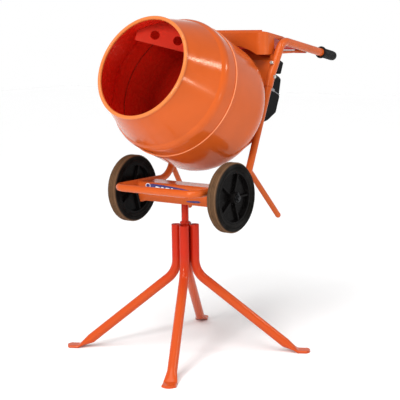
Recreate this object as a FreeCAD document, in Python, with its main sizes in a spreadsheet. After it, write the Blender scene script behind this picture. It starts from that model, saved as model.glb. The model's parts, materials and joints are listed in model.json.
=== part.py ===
import FreeCAD, Part
import math
import os
import Sketcher
from FreeCAD import Placement, Rotation, Vector

# A tip-up concrete mixer on a four-legged stand, in millimetres.
# +Z is up, the mouth of the drum faces -Y, and the origin is on the floor on the stand's axis.

doc = FreeCAD.newDocument("ConcreteMixer")
X_AXIS = Vector(1, 0, 0)
Y_AXIS = Vector(0, 1, 0)
Z_AXIS = Vector(0, 0, 1)

SIZES = {
    # stand
    "leg_dia": 42.4, "leg_wall": 2.6, "leg_ring": 40.2, "leg_top": 570.6, "leg_knee": 359.0,
    "leg_bend": 110.0, "leg_slope": 38.7, "leg_turn": 29.3, "foot_reach": 548.0, "foot_width": 60.0,
    "foot_thick": 12.0, "foot_length": 52.0, "socket_dia": 38.0, "socket_bore": 32.6,
    "socket_low": 400.0, "socket_top": 575.0, "socket_cap": 4.0,
    # swivel head
    "post_dia": 32.0, "post_wall": 3.0, "collar_dia": 46.0, "collar_height": 8.0, "collar_gap": 0.3,
    "seat_top": 671.7, "seat_thick": 8.0, "seat_width": 84.0, "seat_front": 26.0, "seat_rear": 44.0,
    "barrel_dia": 30.0, "barrel_length": 118.0, "pivot_dia": 16.0, "run_gap": 0.05,
    # tipping frame
    "tube_dia": 32.0, "tube_wall": 2.5, "track_half": 215.5, "rail_height": 745.7,
    "bar_front": 213.4, "corner_bend": 45.0, "rail_bend": 90.0, "rail_end": 158.9,
    "tilt": 24.0, "head_back": 283.0, "head_height": 1020.0, "upright_top": 208.0,
    "channel_front": 72.0, "channel_back": 28.0, "channel_low": 672.0, "channel_top": 755.0,
    "sheet": 3.0, "lug_thick": 5.0, "lug_gap": 1.5,
    "handle_dia": 37.0, "handle_low": 150.0, "handle_kink": 213.0,
    "handle_bend_back": 460.7, "handle_bend_height": 1360.0, "handle_end_back": 905.0,
    "handle_end_height": 1276.5, "handle_bend": 60.0, "grip_dia": 43.0, "grip_length": 118.0,
    "park_dia": 25.0, "park_splay": 35.5, "park_back": 363.0, "park_low": 567.5,
    "plate_thick": 5.0, "plate_top": 278.0, "plate_low": 150.0,
    "flange_width": 370.0, "flange_height": 90.0, "flange_lean": -35.0,
    # wheels
    "wheel_dia": 300.0, "tyre_width": 48.0, "rim_dia": 226.0, "wheel_half": 271.4,
    "axle_dia": 20.0, "axle_back": -30.2, "axle_height": 715.0, "hub_dia": 50.0, "hub_width": 62.0,
    # drum, with its stations measured back from the mouth along its axis
    "mouth_depth": 611.0, "mouth_radius": 222.0, "neck_end": 168.0, "neck_radius": 283.0,
    "belly_start": 205.0, "belly_radius": 298.0, "seam": 272.0, "bowl_start": 458.0,
    "drum_back": 588.0, "drum_wall": 2.5, "bead": 8.0, "rim_outer": 227.3,
    "hub_flange": 150.0, "shaft_dia": 30.0,
    # gearbox and belt drive
    "big_module": 3.0, "big_teeth": 49.0, "big_pinion": 13.0,
    "small_module": 2.0, "small_teeth": 56.0, "small_pinion": 14.0,
    "lay_angle": 155.0, "input_angle": 70.0, "box_back": 76.0, "box_split": 46.0, "box_wall": 5.0,
    "motor_height": 185.0, "motor_dia": 118.0, "motor_back": 126.0, "motor_pulley": 24.0,
    "driven_pulley": 80.0, "belt_plane": 143.0, "belt_width": 12.0, "belt_thick": 4.0,
    "guard_half": 158.0, "guard_seam": 180.0,
    # hood
    "hood_half": 192.0, "hood_sheet": 2.0, "hood_front": 345.0, "hood_top": 1404.0,
    "hood_low": 1300.0, "hood_hinge_back": 770.0, "hood_hinge_height": 1301.0, "hood_rod": 10.0,
    "hood_corner": 42.0,
}

sheet = doc.addObject("Spreadsheet::Sheet", "Sizes")
for row, (word, number) in enumerate(SIZES.items(), 1):
    sheet.set(f"A{row}", word)
    sheet.set(f"B{row}", str(number))
    sheet.setAlias(f"B{row}", word)
doc.recompute()


class Size:
    """A length of the sheet: its present number and the expression that gives it."""

    def __init__(self, number, text):
        self.number = float(number)
        self.text = text

    @staticmethod
    def of(value):
        return value if isinstance(value, Size) else Size(value, repr(float(value)))

    def __add__(self, other):
        other = Size.of(other)
        return Size(self.number + other.number, f"({self.text} + {other.text})")

    def __sub__(self, other):
        other = Size.of(other)
        return Size(self.number - other.number, f"({self.text} - {other.text})")

    def __rsub__(self, other):
        return Size.of(other) - self

    def __mul__(self, other):
        other = Size.of(other)
        return Size(self.number * other.number, f"({self.text} * {other.text})")

    def __truediv__(self, other):
        other = Size.of(other)
        return Size(self.number / other.number, f"({self.text} / {other.text})")

    def __neg__(self):
        return Size(-self.number, f"(0 - {self.text})")

    __radd__ = __add__
    __rmul__ = __mul__

    def __float__(self):
        return self.number


class Sheet:
    """Gives each cell of the sheet as a Size, by its alias."""

    def __getattr__(self, word):
        return Size(float(getattr(sheet, word)), f"Sizes.{word}")


size = Sheet()
subparts = []


def num(value):
    return float(value)


# ---- places -------------------------------------------------------------------------------

TILT = num(size.tilt)
HEAD = Placement(Vector(0, num(size.head_back), num(size.head_height)), Rotation(X_AXIS, 90 - TILT))


def head(x, y, z):
    """World point of the head frame: x across, y up the uprights, z forward along the drum's axis."""
    return HEAD.multVec(Vector(num(x), num(y), num(z)))


def in_head(x, y, z, turn=None):
    """Placement at a point of the head frame, with its own Z along the drum's axis."""
    return HEAD * Placement(Vector(num(x), num(y), num(z)), turn or Rotation())


def at(x, y, z, turn=None):
    return Placement(Vector(num(x), num(y), num(z)), turn or Rotation())


ALONG_X = Rotation(Y_AXIS, 90)
CROSSWISE = Rotation(Y_AXIS, Z_AXIS, X_AXIS, "ZXY")     # an outline's X to the rear, its Y up


# ---- parametric pieces --------------------------------------------------------------------

def bind(thing, **values):
    for name, value in values.items():
        setattr(thing, name, num(value))
        if isinstance(value, Size):
            thing.setExpression(name, value.text)


def cylinder(radius, height, place, name="Cylinder"):
    thing = doc.addObject("Part::Cylinder", name)
    bind(thing, Radius=radius, Height=height)
    thing.Placement = place
    return thing


def block(length, width, height, place, name="Block"):
    thing = doc.addObject("Part::Box", name)
    bind(thing, Length=length, Width=width, Height=height)
    thing.Placement = place
    return thing


def torus(ring, radius, place, name="Torus"):
    thing = doc.addObject("Part::Torus", name)
    bind(thing, Radius1=ring, Radius2=radius)
    thing.Placement = place
    return thing


def hexagon(across, height, place):
    thing = doc.addObject("Part::Prism", "Hexagon")
    bind(thing, Circumradius=across / math.sqrt(3), Height=height)
    thing.Polygon = 6
    thing.Placement = place
    return thing


def cut(base, *tools):
    tool = tools[0] if len(tools) == 1 else joined(*tools)
    thing = doc.addObject("Part::Cut", "Cut")
    thing.Base = base
    thing.Tool = tool
    return thing


def common(base, tool):
    thing = doc.addObject("Part::Common", "Common")
    thing.Base = base
    thing.Tool = tool
    return thing


def joined(*pieces):
    thing = doc.addObject("Part::MultiFuse", "Fuse")
    thing.Shapes = list(pieces)
    return thing


def group(*pieces):
    """Separate solids that make one group, such as a set of identical bolts."""
    thing = doc.addObject("Part::Compound", "Group")
    thing.Links = list(pieces)
    return thing


def shaped(shape, name="Shape"):
    thing = doc.addObject("Part::Feature", name)
    thing.Shape = shape
    return thing


def subpart(label, thing):
    thing.Label = label
    subparts.append(thing)
    return thing


def ring(radius, bore, height, place):
    """A plain ring or a length of straight tube."""
    longer = place * Placement(Vector(0, 0, -1), Rotation())
    return cut(cylinder(radius, height, place), cylinder(bore, Size.of(height) + 2, longer))


def plane_of(body, role):
    return next(item for item in body.Origin.OriginFeatures if item.Role == role)


def outline(body, role, corners, arcs=None):
    """A closed sketch whose corners are held by sizes; arcs names sides given as (side, middle)."""
    arcs = arcs or {}
    sketch = body.newObject("Sketcher::SketchObject", "Outline")
    sketch.AttachmentSupport = [(plane_of(body, role), "")]
    sketch.MapMode = "FlatFace"
    count = len(corners)
    spots = [Vector(num(across), num(up), 0) for across, up in corners]
    for side, start in enumerate(spots):
        end = spots[(side + 1) % count]
        if side in arcs:
            middle = Vector(num(arcs[side][0]), num(arcs[side][1]), 0)
            if (middle - start).cross(end - middle).z < 0:
                start, end = end, start
            sketch.addGeometry(Part.Arc(start, middle, end), False)
        else:
            sketch.addGeometry(Part.LineSegment(start, end), False)
    return sketch


def add_limits(sketch, corners, arcs):
    count = len(corners)
    bows = {side: sketch.Geometry[side].Radius for side in arcs}
    starts = {}
    ends = {}
    for side in range(count):
        geometry = sketch.Geometry[side]
        first = Vector(num(corners[side][0]), num(corners[side][1]), 0)
        flipped = side in arcs and geometry.StartPoint.distanceToPoint(first) > 1e-6
        starts[side] = 2 if flipped else 1
        ends[side] = 1 if flipped else 2
    for side in range(count):
        after = (side + 1) % count
        sketch.addConstraint(Sketcher.Constraint("Coincident", side, ends[side], after, starts[after]))
    for side, (across, up) in enumerate(corners):
        for kind, value in (("DistanceX", across), ("DistanceY", up)):
            value = Size.of(value)
            index = sketch.addConstraint(
                Sketcher.Constraint(kind, -1, 1, side, starts[side], value.number))
            if "Sizes." in value.text:
                sketch.setExpression(f"Constraints[{index}]", value.text)
    for side, bow in bows.items():
        sketch.addConstraint(Sketcher.Constraint("Radius", side, bow))


def turned(label, corners, place, arcs=None):
    """A piece turned about its own Z: the outline gives radius and height."""
    arcs = arcs or {}
    body = doc.addObject("PartDesign::Body", label)
    sketch = outline(body, "XZ_Plane", corners, arcs)
    add_limits(sketch, corners, arcs)
    turn = body.newObject("PartDesign::Revolution", "Turned")
    turn.Profile = sketch
    turn.ReferenceAxis = (sketch, ["V_Axis"])
    turn.Angle = 360
    sketch.Visibility = False
    body.Placement = place
    return body


def padded_plate(label, corners, thick, place, arcs=None):
    """A flat piece: the outline lies in its own XY plane and is thickened along Z."""
    arcs = arcs or {}
    body = doc.addObject("PartDesign::Body", label)
    sketch = outline(body, "XY_Plane", corners, arcs)
    add_limits(sketch, corners, arcs)
    pad = body.newObject("PartDesign::Pad", "Thickness")
    pad.Profile = sketch
    bind(pad, Length=thick)
    sketch.Visibility = False
    body.Placement = place
    return body


def rounded_path(points, bends):
    """Straight runs through the points, joined by tangent arcs of the given radii."""
    edges = []
    start = points[0]
    for index in range(1, len(points) - 1):
        before = (points[index] - points[index - 1]).normalize()
        after = (points[index + 1] - points[index]).normalize()
        turn = before.getAngle(after)
        reach = bends[index - 1] * math.tan(turn / 2)
        first = points[index] - before * reach
        last = points[index] + after * reach
        inward = (after - before).normalize()
        depth = bends[index - 1] * (1 / math.cos(turn / 2) - 1)
        edges.append(Part.makeLine(start, first))
        edges.append(Part.Arc(first, points[index] + inward * depth, last).toShape())
        start = last
    edges.append(Part.makeLine(start, points[-1]))
    return Part.Wire(edges)


def swept(path, points, radius):
    """A round bar along a wire that starts from the first point towards the second."""
    profile = Part.Wire([Part.makeCircle(radius, points[0], points[1] - points[0])])
    return path.makePipeShell([profile], True, False)


def solid_path(points, bends, radius):
    return swept(rounded_path(points, bends), points, radius)


def swept_tube(path, points, radius, wall):
    return swept(path, points, radius).cut(swept(path, points, radius - wall))


def bent_tube(points, bends, radius, wall):
    return swept_tube(rounded_path(points, bends), points, radius, wall)


def bolt(across, length, place, shank=None):
    """A hexagon bolt: its head is above the seat and its shank runs down from it."""
    shank = shank or across * 0.6
    turn_over = place * Placement(Vector(0, 0, 0), Rotation(X_AXIS, 180))
    return joined(
        hexagon(across, across * 0.42, place),
        cylinder(shank / 2, length, turn_over),
        cylinder(across * 0.62, 1.4, place))


# ---- stand --------------------------------------------------------------------------------

LEG_R = size.leg_dia / 2


def build_stand():
    low, radius, bore = size.socket_low, size.socket_dia / 2, size.socket_bore / 2
    subpart("stand_socket", turned("Socket", [
        (0, low - size.socket_cap), (radius, low - size.socket_cap), (radius, size.socket_top),
        (bore, size.socket_top), (bore, low), (0, low)], Placement()))
    for index in range(4):
        angle = num(size.leg_turn) + 90 * index
        subpart(f"stand_leg_{index + 1}", stand_leg(Rotation(Z_AXIS, angle)))


def stand_leg(turn):
    """A tube down beside the socket, bent out to the floor, with its end pressed flat."""
    ring_r, knee, slope = num(size.leg_ring), num(size.leg_knee), math.radians(num(size.leg_slope))
    reach, thick, wide = num(size.foot_reach), num(size.foot_thick), num(size.foot_width)
    radius, wall = num(LEG_R), num(size.leg_wall)
    flat_start = reach - num(size.foot_length)
    tube_end = flat_start - 56
    end = Vector(tube_end, 0, knee - (tube_end - ring_r) * math.tan(slope))
    top = Vector(ring_r, 0, num(size.leg_top))
    tube = bent_tube([top, Vector(ring_r, 0, knee), end], [num(size.leg_bend)], radius, wall)
    heading = Vector(math.cos(slope), 0, -math.sin(slope))
    round_end = Part.Wire([Part.makeCircle(radius, end, heading)])
    half = wide / 2 - thick / 2
    flat = Part.Wire([
        Part.makeLine(Vector(flat_start, -half, 0), Vector(flat_start, half, 0)),
        Part.Arc(Vector(flat_start, half, 0), Vector(flat_start, half + thick / 2, thick / 2),
                 Vector(flat_start, half, thick)).toShape(),
        Part.makeLine(Vector(flat_start, half, thick), Vector(flat_start, -half, thick)),
        Part.Arc(Vector(flat_start, -half, thick), Vector(flat_start, -half - thick / 2, thick / 2),
                 Vector(flat_start, -half, 0)).toShape()])
    pressed = Part.makeLoft([round_end, flat], True)
    pad = Part.Face(flat).extrude(Vector(reach - flat_start - thick, 0, 0))
    nose = Part.makeCylinder(wide / 2, thick, Vector(reach - wide / 2, 0, 0))
    nose = nose.common(Part.makeBox(wide, wide, thick, Vector(reach - thick - 6, -wide / 2, 0)))
    leg = shaped(tube.fuse([pressed, pad, nose]).removeSplitter(), "Leg")
    leg.Placement = Placement(Vector(), turn)
    return leg


# ---- swivel head --------------------------------------------------------------------------

PIVOT_HEIGHT = size.seat_top + size.barrel_dia / 2 - 1.5


def build_swivel():
    post_low = size.socket_low + 1
    seat_low = size.seat_top - size.seat_thick
    radius, collar = size.post_dia / 2, size.collar_dia / 2
    collar_low = size.socket_top + size.collar_gap
    collar_top = collar_low + size.collar_height
    subpart("swivel_post", turned("Post", [
        (radius - size.post_wall, post_low), (radius, post_low), (radius, collar_low),
        (collar, collar_low), (collar, collar_top - 2), (collar - 3, collar_top),
        (radius, collar_top), (radius, seat_low), (radius - size.post_wall, seat_low)], Placement()))
    front, rear, half = size.seat_front, size.seat_rear, size.seat_width / 2
    corners = [(-half, -front), (half, -front), (half, rear - 14), (half - 14, rear),
               (14 - half, rear), (-half, rear - 14)]
    plate = padded_plate("SeatPlate", corners, size.seat_thick, at(0, 0, seat_low))
    along = at(-size.barrel_length / 2, 0, PIVOT_HEIGHT, ALONG_X)
    barrel = cylinder(size.barrel_dia / 2, size.barrel_length, along)
    web = block(size.barrel_length - 40, 12, size.barrel_dia / 2 - 4,
                at(20 - size.barrel_length / 2, -6, size.seat_top))
    bore = cylinder(size.pivot_dia / 2 + size.run_gap, size.barrel_length, along)
    subpart("swivel_head", cut(joined(plate, barrel, web), bore))


# ---- tipping frame ------------------------------------------------------------------------

TUBE_R = size.tube_dia / 2
HANDLE_KINK_BEND = 80


def side_path(side):
    """Rail, bend and upright of one side."""
    across = side * num(size.track_half)
    return [Vector(across, num(size.corner_bend) - num(size.bar_front), num(size.rail_height)),
            Vector(across, num(size.rail_end), num(size.rail_height)),
            head(across, size.upright_top, 0)]


def handle_path(side):
    across = side * num(size.track_half)
    return [head(across, size.handle_low, 0), head(across, size.handle_kink, 0),
            Vector(across, num(size.handle_bend_back), num(size.handle_bend_height)),
            Vector(across, num(size.handle_end_back), num(size.handle_end_height))]


def side_bar(side):
    """The side tube as a solid bar, to cut its way through what lies round it."""
    return shaped(solid_path(side_path(side), [num(size.rail_bend)], num(TUBE_R)), "SideBar")


def handle_bar(side):
    return shaped(solid_path(handle_path(side), [HANDLE_KINK_BEND, num(size.handle_bend)],
                             num(size.handle_dia) / 2), "HandleBar")


def side_name(side):
    return "left" if side < 0 else "right"


def build_frame():
    radius, wall = num(TUBE_R), num(size.tube_wall)
    half, front = num(size.track_half), num(size.bar_front)
    height, bend = num(size.rail_height), num(size.corner_bend)
    bow = [Vector(-half, bend - front, height), Vector(-half, -front, height),
           Vector(half, -front, height), Vector(half, bend - front, height)]
    subpart("front_crossbar", shaped(swept_tube(rounded_bow(bow, bend), bow, radius, wall), "FrontBow"))
    for side in (-1, 1):
        name = side_name(side)
        tube = bent_tube(side_path(side), [num(size.rail_bend)], radius, wall)
        subpart(f"side_tube_{name}", shaped(tube, "SideTube"))
        subpart(f"parking_leg_{name}", shaped(parking_leg(side), "ParkingLeg"))
        handle = bent_tube(handle_path(side), [HANDLE_KINK_BEND, num(size.handle_bend)],
                           num(size.handle_dia) / 2, 2.3)
        subpart(f"handle_tube_{name}", shaped(handle, "HandleTube"))
        subpart(f"handle_grip_{name}", handle_grip(side))
    build_channel()
    handle_side = num(size.track_half) + num(size.handle_dia) / 2
    bolts = hanger_bolts()
    for side in (-1, 1):
        bolts.append(bolt(13, 36, Placement(head(side * handle_side, size.handle_low + 50, 0),
                                            Rotation(Y_AXIS, 90 * side))))
        bolts.append(bolt(13, 36, in_head(side * num(size.track_half), size.handle_low + 109,
                                          size.handle_dia / 2)))
    subpart("frame_bolts", group(*bolts))


def rounded_bow(points, bend):
    """The front bar's line: it turns a corner at each end, where it meets the rails."""
    first, corner_a, corner_b, last = points
    middle = bend * (1 - math.sqrt(0.5))
    in_a = corner_a + Vector(bend, 0, 0)
    in_b = corner_b - Vector(bend, 0, 0)
    return Part.Wire([
        Part.Arc(first, corner_a + Vector(middle, middle, 0), in_a).toShape(),
        Part.makeLine(in_a, in_b),
        Part.Arc(in_b, corner_b + Vector(-middle, middle, 0), last).toShape()])


def parking_leg(side):
    """A prop from the foot of the upright, splayed out, with a round closed end."""
    radius = num(size.park_dia) / 2
    top = head(side * num(size.track_half), -238, 0)
    low = Vector(side * (num(size.track_half) + num(size.park_splay)),
                 num(size.park_back), num(size.park_low) + radius)
    along = low - top
    leg = Part.makeCylinder(radius, along.Length, top, along)
    leg = leg.fuse(Part.makeSphere(radius, low))
    bore = Part.makeCylinder(radius - 2, along.Length, top, along)
    return leg.cut(bore).cut(solid_path(side_path(side), [num(size.rail_bend)], num(TUBE_R)))


def handle_grip(side):
    """A ribbed rubber sleeve with a flange, over the end of the handle."""
    start, end = handle_path(side)[2:]
    along = (end - start).normalize()
    length, bore = num(size.grip_length), size.handle_dia / 2
    outer = size.grip_dia / 2
    place = Placement(end - along * (length - 8), Rotation(Z_AXIS, along))
    corners = [(bore, 0), (outer + 7, 0), (outer + 7, 5), (outer, 9)]
    for rib in range(7):
        rise = 18 + 13 * rib
        corners += [(outer, rise), (outer + 1.4, rise + 3), (outer + 1.4, rise + 7), (outer, rise + 10)]
    corners += [(outer, length - 2), (outer - 2, length), (0, length), (0, length - 8 + 0.2),
                (bore, length - 8 + 0.2)]
    return turned("Grip", corners, place)


def build_channel():
    """A folded channel across the rails, carried on the pivot pin, and what is fixed in it."""
    front, back = size.channel_front, size.channel_back
    low, top, sheet_now = size.channel_low, size.channel_top, size.sheet
    half = size.track_half - 10
    rise = top - low
    corners = [(-front, 0), (-front, rise - 6), (6 - front, rise), (back - 6, rise), (back, rise - 6),
               (back, 0), (back - sheet_now, 0), (back - sheet_now, rise - 6 - 0.6 * sheet_now),
               (back - 6 - 0.4 * sheet_now, rise - sheet_now),
               (6 + 0.4 * sheet_now - front, rise - sheet_now),
               (sheet_now - front, rise - 6 - 0.6 * sheet_now), (sheet_now - front, 0)]
    folded = padded_plate("Channel", corners, half * 2, at(-half, 0, low, CROSSWISE))
    notch = [block(40, 300, 60, at(side * 207 - 20, -150, size.channel_low - 12,
                                   Rotation(Y_AXIS, side * 22))) for side in (-1, 1)]
    axle_way = cylinder(size.axle_dia / 2 + 1, 500, at(-250, size.axle_back, size.axle_height, ALONG_X))
    lugs = []
    reach = size.barrel_length / 2 + size.lug_gap
    for side in (-1, 1):
        start = reach if side > 0 else -reach - size.lug_thick
        tab = block(size.lug_thick, 52, top - sheet_now - low - 2, at(start, -26, low + 2))
        hole = cylinder(size.pivot_dia / 2, 300, at(-150, 0, PIVOT_HEIGHT, ALONG_X))
        lugs.append(cut(tab, hole, axle_way))
    subpart("cross_channel", joined(cut(folded, side_bar(-1), side_bar(1), axle_way, *notch), *lugs))

    pin_half = reach + size.lug_thick + 7
    pin = joined(
        cylinder(size.pivot_dia / 2, pin_half * 2, at(-pin_half, 0, PIVOT_HEIGHT, ALONG_X)),
        cylinder(12.5, 5, at(-pin_half, 0, PIVOT_HEIGHT, ALONG_X)))
    subpart("pivot_pin", pin)

    axle_end = size.wheel_half + size.hub_width / 2 + 12
    subpart("axle", cylinder(size.axle_dia / 2, axle_end * 2,
                             at(-axle_end, size.axle_back, size.axle_height, ALONG_X)))
    for side in (-1, 1):
        name = side_name(side)
        corners = [(-34, 0), (34, 0), (34, -22), (16, -76), (-16, -76), (-34, -22)]
        start = size.track_half - 5 if side > 0 else -size.track_half
        rail_low = size.rail_height - size.tube_dia / 2 + 5
        hanger = padded_plate("Hanger", corners, 5, at(start, size.axle_back, rail_low, CROSSWISE))
        hole = cylinder(size.axle_dia / 2, 600, at(-300, size.axle_back, size.axle_height, ALONG_X))
        subpart(f"axle_hanger_{name}", cut(hanger, hole, side_bar(side)))


def hanger_bolts():
    """One bolt below each end of the axle, through its hanger."""
    return [bolt(13, 13, at(side * num(size.track_half), size.axle_back, size.axle_height - 48,
                            Rotation(Y_AXIS, 90 * side))) for side in (-1, 1)]


def split_pin(across, back, height, ring_radius):
    """A round pin across the end of a shaft, with the eye that it is pulled out by."""
    return joined(cylinder(1.6, 33, at(across, back, height - 18)),
                  torus(ring_radius, 1.3, at(across, back, height + 15 + ring_radius, ALONG_X)))


# ---- wheels -------------------------------------------------------------------------------

def build_wheels():
    for side in (-1, 1):
        name = side_name(side)
        place = at(side * num(size.wheel_half), size.axle_back, size.axle_height,
                   Rotation(Y_AXIS, 90 * side))
        subpart(f"wheel_tyre_{name}", wheel_tyre(place))
        subpart(f"wheel_hub_{name}", wheel_hub(place))
    pin_end = num(size.barrel_length) / 2 + num(size.lug_gap) + num(size.lug_thick) + 2.5
    caps = [split_pin(pin_end, 0, PIVOT_HEIGHT, 6)]
    for side in (-1, 1):
        seat = side * (num(size.wheel_half) + num(size.hub_width) / 2 + 0.3)
        turn = Rotation(Y_AXIS, 90 * side)
        caps.append(ring(size.axle_dia / 2 + 7, size.axle_dia / 2, 3,
                         at(seat, size.axle_back, size.axle_height, turn)))
        inner = side * (num(size.wheel_half) - num(size.hub_width) / 2 - 0.3)
        caps.append(ring(size.axle_dia / 2 + 7, size.axle_dia / 2, 3,
                         at(inner, size.axle_back, size.axle_height, Rotation(Y_AXIS, -90 * side))))
        caps.append(split_pin(seat + side * 6, size.axle_back, size.axle_height, 4))
    subpart("washers_and_split_pins", group(*caps))


def wheel_tyre(place):
    """Solid rubber: fine grooves round the tread and two raised rings on each side."""
    outer, half, inner = size.wheel_dia / 2, size.tyre_width / 2, size.rim_dia / 2
    corners = [(inner, -half + 4), (inner + 6, -half + 1), (inner + 12, -half + 1), (inner + 15, -half + 3),
               (inner + 18, -half), (outer - 8, -half), (outer, -half + 9)]
    for groove in range(5):
        middle = -12 + 6 * groove
        corners += [(outer, middle - 1.6), (outer - 2.2, middle - 0.8),
                    (outer - 2.2, middle + 0.8), (outer, middle + 1.6)]
    corners += [(outer, half - 9), (outer - 8, half), (inner + 18, half), (inner + 15, half - 3),
                (inner + 12, half - 1), (inner + 6, half - 1), (inner, half - 4)]
    return turned("Tyre", corners, place)


def wheel_hub(place):
    """A moulded hub: rim, thin web, boss, and five ribs on each face."""
    rim, boss = size.rim_dia / 2, size.hub_dia / 2
    half, deep = size.tyre_width / 2, size.hub_width / 2
    bore = size.axle_dia / 2 + size.run_gap
    corners = [(bore, -deep), (boss - 3, -deep), (boss, 3 - deep), (boss + 3, -3), (rim - 12, -3),
               (rim - 9, 5 - half), (rim, 5 - half), (rim, half - 5), (rim - 9, half - 5),
               (rim - 12, 3), (boss + 3, 3), (boss, deep - 3), (boss - 3, deep), (bore, deep)]
    body = turned("Hub", corners, Placement())
    ribs = []
    for index in range(5):
        turn = Rotation(Z_AXIS, 90 + 72 * index)
        length = rim - 10 - boss + 3
        start = turn.multVec(Vector(num(boss) - 2, -4, -15))
        ribs.append(block(length, 8, 30, Placement(start, turn)))
    hub = joined(body, *ribs)
    hub.Placement = place
    return hub


# ---- drum ---------------------------------------------------------------------------------

DRUM = HEAD * Placement(Vector(0, 0, num(size.mouth_depth)), Rotation(X_AXIS, 180))
BASE_RADIUS = size.belly_radius - size.drum_back + size.bowl_start
KNUCKLE = size.drum_back - size.bowl_start
BASE_FACE = size.mouth_depth - size.drum_back


def shoulder_middle(inset):
    """Middle of the shoulder's arc, which is level where it meets the belly."""
    depth = num(size.belly_start) - num(size.neck_end)
    rise = num(size.belly_radius) - num(size.neck_radius)
    bow = (depth ** 2 + rise ** 2) / (2 * rise)
    turn = math.atan(rise / depth)
    return (num(size.belly_radius) - bow + (bow - inset) * math.cos(turn),
            num(size.belly_start) - (bow - inset) * math.sin(turn))


def knuckle_middle(inset):
    reach = (num(KNUCKLE) - inset) * math.sqrt(0.5)
    return num(BASE_RADIUS) + reach, num(size.bowl_start) + reach


def build_drum():
    wall, seam = size.drum_wall, size.seam
    belly, neck, mouth = size.belly_radius, size.neck_radius, size.mouth_radius
    thin = num(wall)
    front = [(mouth, size.bead / 2), (neck, size.neck_end), (belly, size.belly_start), (belly, seam),
             (belly - wall, seam), (belly - wall, size.belly_start), (neck - wall * 1.05, size.neck_end),
             (mouth - wall, size.bead / 2)]
    arcs = {1: shoulder_middle(0), 5: shoulder_middle(thin)}
    bead = torus(size.rim_outer - size.bead, size.bead, DRUM)
    subpart("drum_front_shell", joined(turned("FrontShell", front, DRUM, arcs), bead))

    lip = belly + wall + 0.2
    rear = [(belly + 0.2, seam - 12), (lip, seam - 12), (lip, seam + 2), (belly, seam + 6),
            (belly, size.bowl_start), (BASE_RADIUS, size.drum_back), (Size.of(18), size.drum_back),
            (Size.of(18), size.drum_back - wall), (BASE_RADIUS, size.drum_back - wall),
            (belly - wall, size.bowl_start), (belly - wall, seam + 0.3), (belly + 0.2, seam + 0.3)]
    arcs = {4: knuckle_middle(0), 8: knuckle_middle(thin)}
    subpart("drum_rear_bowl", cut(turned("RearBowl", rear, DRUM, arcs), *hub_bolt_holes()))

    inside = [(0, size.bead), (mouth - wall, size.bead), (neck - wall * 1.05, size.neck_end),
              (belly - wall, size.belly_start), (belly - wall, size.bowl_start),
              (BASE_RADIUS, size.drum_back - wall), (0, size.drum_back - wall)]
    arcs = {2: shoulder_middle(thin), 4: knuckle_middle(thin)}
    for index in range(2):
        space = turned("Inside", inside, DRUM, arcs)
        subpart(f"mixing_paddle_{index + 1}", common(paddle_plate(180 * index), space))

    disc_low = BASE_FACE + wall
    subpart("drum_base_disc", cut(turned("BaseDisc", [
        (9, 0), (104, 0), (104, 2), (100, 4), (70, 4), (66, 7), (38, 7), (34, 4), (9, 4)],
        in_head(0, 0, disc_low)), *hub_bolt_holes()))
    subpart("drum_hub", cut(turned("DrumHub", [
        (size.shaft_dia / 2, 1), (27, 1), (27, 10), (32, 15), (size.hub_flange / 2, 15),
        (size.hub_flange / 2, BASE_FACE), (size.shaft_dia / 2, BASE_FACE)], in_head(0, 0, 0)),
        *hub_bolt_holes()))
    bolts = []
    for index in range(6):
        place = in_head(0, 0, disc_low + 4) * Placement(
            Rotation(Z_AXIS, 60 * index).multVec(Vector(54, 0, 3)), Rotation())
        bolts.append(cut(bolt(13, 22, place, 8), cylinder(2, 3, place * Placement(
            Vector(0, 0, 4), Rotation()))))
    nut = in_head(0, 0, disc_low + 4)
    shaft_nut = joined(cylinder(17, 2.5, nut), hexagon(24, 15, nut))
    bolts.append(cut(shaft_nut, cylinder(8, 60, in_head(0, 0, 0))))
    subpart("drum_hub_bolts", group(*bolts))


def hub_bolt_holes():
    return [cylinder(4.3, 60, in_head(0, 0, 0) * Placement(
        Rotation(Z_AXIS, 60 * index).multVec(Vector(54, 0, 0)), Rotation())) for index in range(6)]


def paddle_plate(turn):
    """A flat blade set askew across the belly, with three round holes, before it is trimmed."""
    skew = Rotation(Y_AXIS, 39)
    spin = Rotation(Z_AXIS, turn)
    corner = Vector(-150, 155, 526)
    holes = []
    for index in range(3):
        spot = corner + skew.multVec(Vector(78 + 100 * index, 42, -6))
        holes.append(cylinder(20, 16, HEAD * Placement(Vector(), spin) * Placement(spot, skew)))
    plate = block(330, 120, 4, HEAD * Placement(Vector(), spin) * Placement(corner, skew))
    return cut(plate, *holes)


# ---- drive --------------------------------------------------------------------------------

PRESSURE = math.radians(25)
BIG_CENTRES = num(size.big_module) * (num(size.big_teeth) + num(size.big_pinion)) / 2
SMALL_CENTRES = num(size.small_module) * (num(size.small_teeth) + num(size.small_pinion)) / 2
LAY = Rotation(Z_AXIS, num(size.lay_angle)).multVec(Vector(BIG_CENTRES, 0, 0))
INPUT = LAY + Rotation(Z_AXIS, num(size.input_angle)).multVec(Vector(SMALL_CENTRES, 0, 0))


def involute(angle):
    return math.tan(angle) - angle


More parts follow.
